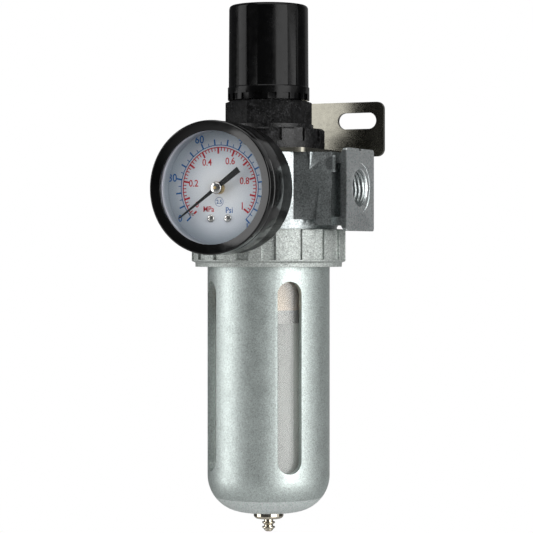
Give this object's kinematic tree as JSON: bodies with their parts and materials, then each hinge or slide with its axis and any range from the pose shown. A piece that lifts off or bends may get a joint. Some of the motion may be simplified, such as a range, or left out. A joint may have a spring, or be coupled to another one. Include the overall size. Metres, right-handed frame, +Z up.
{
  "type": "air filter regulator",
  "caption": "Compressed-air filter regulator with adjusting knob, dial gauge, wall bracket and a clear bowl in a slotted metal guard.",
  "frame": {"origin": "on the wall face of the bracket, midway between its two slots", "axes": "+Z up along the knob and bowl, +Y into the wall, +X towards the outlet port; the gauge faces -Y"},
  "size_m": [0.0668, 0.0746, 0.1763],
  "materials": {
    "cast_body": "fine-grained silver-grey paint over a die casting",
    "cast_ring": "fine-grained silver paint over a die casting",
    "guard_paint": "satin metallic silver paint",
    "plated_bracket": "satin bright nickel plate on pressed steel",
    "black_moulding": "matt glass-filled nylon",
    "black_knob": "glossy moulded plastic",
    "black_enamel": "gloss black enamel on steel",
    "brass": "turned",
    "nickel_brass": "nickel-plated and turned",
    "steel": "turned or ground",
    "rubber": "matt moulded nitrile",
    "white_nylon": "moulded",
    "grey_nylon": "moulded",
    "filter_media": "sintered porous element",
    "clear_bowl": "clear polycarbonate",
    "lens": "clear window",
    "dial": "matt white print ground on aluminium",
    "pointer": "matt black"
  },
  "bodies": {
    "root": {"body_casting": "cast_body", "rear_plug": "steel", "valve_seat": "brass", "bonnet": "black_moulding", "panel_nut": "black_moulding", "mounting_bracket": "plated_bracket", "thrust_washer": "steel", "regulating_spring": "steel", "diaphragm": "rubber", "valve_spring": "steel", "valve_guide": "white_nylon", "swirl_deflector": "white_nylon", "filter_seal": "rubber", "filter_element": "filter_media", "baffle": "grey_nylon", "filter_bolt": "brass", "gauge_socket": "brass", "gauge_washer": "rubber", "gauge_case": "black_enamel", "gauge_bezel": "black_enamel", "lens_gasket": "rubber", "gauge_lens": "lens", "gauge_dial": "dial", "dial_screws": "steel", "stop_pin": "steel", "bourdon_tube": "brass", "gauge_movement": "brass"},
    "screw": {"adjusting_screw": "brass"},
    "knob": {"adjusting_knob": "black_knob"},
    "spring_nut": {"spring_nut": "brass"},
    "valve": {"spring_seat": "steel", "diaphragm_plate": "steel", "valve_stem": "steel", "valve_poppet": "brass", "poppet_seal": "rubber"},
    "pointer": {"pointer_shaft": "steel", "gauge_pointer": "pointer", "pointer_collet": "brass", "pointer_hub": "steel"},
    "bowl": {"bowl": "clear_bowl", "bowl_guard": "guard_paint", "bowl_o_ring": "rubber", "drain_body": "nickel_brass", "drain_gasket": "rubber", "drain_nut": "nickel_brass", "drain_spring": "steel"},
    "lock_ring": {"lock_ring": "cast_ring"},
    "drain": {"drain_stem": "nickel_brass", "drain_seal": "rubber"}
  },
  "joints": [
    {"name": "adjust_turn", "type": "hinge", "parent": "root", "child": "screw", "pos_m": [0, -0.03, 0.02], "axis": [0, 0, -1], "range_deg": [0, 2162]},
    {"name": "knob_pull", "type": "slide", "parent": "screw", "child": "knob", "axis": [0, 0, 1], "range_m": [0, 0.003]},
    {"name": "spring_nut_travel", "type": "slide", "parent": "root", "child": "spring_nut", "axis": [0, 0, -1], "range_m": [0, 0.0075], "deforming": ["regulating_spring"]},
    {"name": "valve_lift", "type": "slide", "parent": "root", "child": "valve", "axis": [0, 0, -1], "range_m": [0, 0.001], "stiffness_N_per_m": 2000, "springref_m": -0.001, "deforming": ["valve_spring", "diaphragm"]},
    {"name": "pointer_turn", "type": "hinge", "parent": "root", "child": "pointer", "pos_m": [0, -0.066, -0.0246], "axis": [0, 1, 0], "range_deg": [0, 260], "stiffness_Nm_per_rad": 0.0002, "springref_deg": -28.65},
    {"name": "bowl_lower", "type": "slide", "parent": "root", "child": "bowl", "axis": [0, 0, -1], "range_m": [0, 0.009]},
    {"name": "ring_turn", "type": "hinge", "parent": "bowl", "child": "lock_ring", "pos_m": [0, -0.03, -0.044], "axis": [0, 0, -1], "range_deg": [0, 1622]},
    {"name": "drain_push", "type": "slide", "parent": "bowl", "child": "drain", "axis": [0, 0, 1], "range_m": [0, 0.002], "stiffness_N_per_m": 600, "springref_m": -0.002, "deforming": ["drain_spring"]}
  ],
  "couplings": [
    {"joint": "adjust_turn", "follows": "spring_nut_travel", "rad_per_m": 5026.5},
    {"joint": "ring_turn", "follows": "bowl_lower", "rad_per_m": 3141.6}
  ]
}
